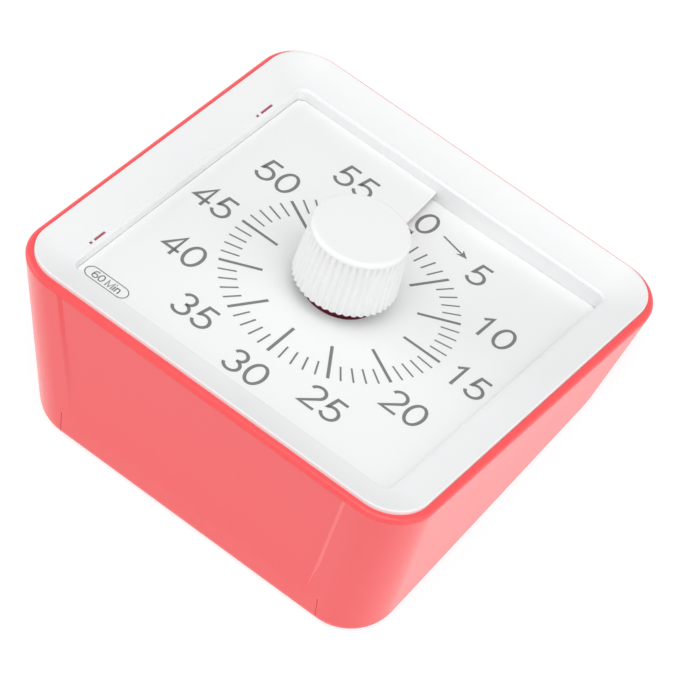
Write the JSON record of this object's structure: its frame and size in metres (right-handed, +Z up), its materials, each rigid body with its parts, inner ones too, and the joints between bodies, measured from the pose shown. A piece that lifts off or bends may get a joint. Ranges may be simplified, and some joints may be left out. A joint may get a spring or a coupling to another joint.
{
  "type": "visual countdown timer",
  "caption": "Wedge-shaped desk timer with a dished frame round a split dial, a ribbed centre knob and a helical disc that shows the time left.",
  "frame": {"origin": "middle of the footprint, on the surface that the timer lies on, resting on its flat back", "axes": "+Z up, out of the flat back; +X to the right of the dial; +Y towards the top of the dial, where 0 is"},
  "size_m": [0.0846, 0.0832, 0.0443],
  "materials": {
    "case": "glossy injection-moulded coral plastic",
    "frame": "satin white moulded plastic",
    "dial": "matt white printed sheet",
    "disc": "thin maroon sheet",
    "knob": "satin white ribbed plastic",
    "inner": "grey moulded plastic",
    "black": "black moulded plastic",
    "steel": "plated steel",
    "brass": "stamped brass",
    "copper": "enamelled copper winding",
    "board": "green solder mask",
    "cell": "plain wrapped cell, no lettering"
  },
  "bodies": {
    "root": {"body_shell": "case", "bezel": "frame", "dial_plate": "dial", "dial_carrier": "inner", "movement_case": "black", "movement_lid": "black", "stator": "steel", "coil": "copper", "circuit_board": "board", "quartz_crystal": "steel", "back_cover": "case", "battery": "cell", "battery_contact": "steel", "battery_spring": "steel", "buzzer": "black", "volume_switch": "steel", "carrier_screw_1": "steel", "cover_screw_1": "steel", "carrier_screw_2": "steel", "cover_screw_2": "steel", "carrier_screw_3": "steel", "cover_screw_3": "steel", "carrier_screw_4": "steel", "cover_screw_4": "steel", "movement_screw_1": "steel", "movement_screw_2": "steel"},
    "knob": {"knob": "knob", "spindle": "steel", "clutch_spring": "steel"},
    "disc": {"time_disc": "disc"},
    "centre_wheel": {"centre_wheel": "brass"},
    "third_wheel": {"third_wheel": "brass"},
    "second_wheel": {"second_wheel": "brass"},
    "rotor": {"rotor": "steel"},
    "battery_door": {"battery_door": "case"},
    "volume_slider": {"volume_slider": "black"}
  },
  "joints": [
    {"name": "knob_turn", "type": "hinge", "parent": "root", "child": "knob", "pos_m": [0, 0.00308, 0.02892], "axis": [0, -0.3827, -0.9239], "range_deg": [0, 360]},
    {"name": "disc_rise", "type": "slide", "parent": "knob", "child": "disc", "axis": [0, 0.3827, 0.9239], "range_m": [0, 0.003]},
    {"name": "rotor_spin", "type": "hinge", "parent": "root", "child": "rotor", "pos_m": [0.00607, -0.00392, 0.03181], "axis": [0, -0.3827, -0.9239], "continuous": true},
    {"name": "second_wheel_turn", "type": "hinge", "parent": "root", "child": "second_wheel", "pos_m": [-0.00063, -0.00501, 0.03227], "axis": [0, -0.3827, -0.9239], "continuous": true},
    {"name": "third_wheel_turn", "type": "hinge", "parent": "root", "child": "third_wheel", "pos_m": [-0.00645, -0.0011, 0.03065], "axis": [0, -0.3827, -0.9239], "continuous": true},
    {"name": "centre_wheel_turn", "type": "hinge", "parent": "root", "child": "centre_wheel", "pos_m": [0, 0.00308, 0.02892], "axis": [0, -0.3827, -0.9239], "continuous": true},
    {"name": "door_slide", "type": "slide", "parent": "root", "child": "battery_door", "axis": [0, -1, 0], "range_m": [0, 0.011]},
    {"name": "volume_slide", "type": "slide", "parent": "root", "child": "volume_slider", "axis": [1, 0, 0], "range_m": [-0.003, 0.003]}
  ],
  "couplings": [
    {"joint": "disc_rise", "follows": "knob_turn", "m_per_rad": 0.00047746},
    {"joint": "second_wheel_turn", "follows": "rotor_spin", "ratio": -0.13333},
    {"joint": "third_wheel_turn", "follows": "rotor_spin", "ratio": 0.016667},
    {"joint": "centre_wheel_turn", "follows": "rotor_spin", "ratio": -0.0041667}
  ]
}
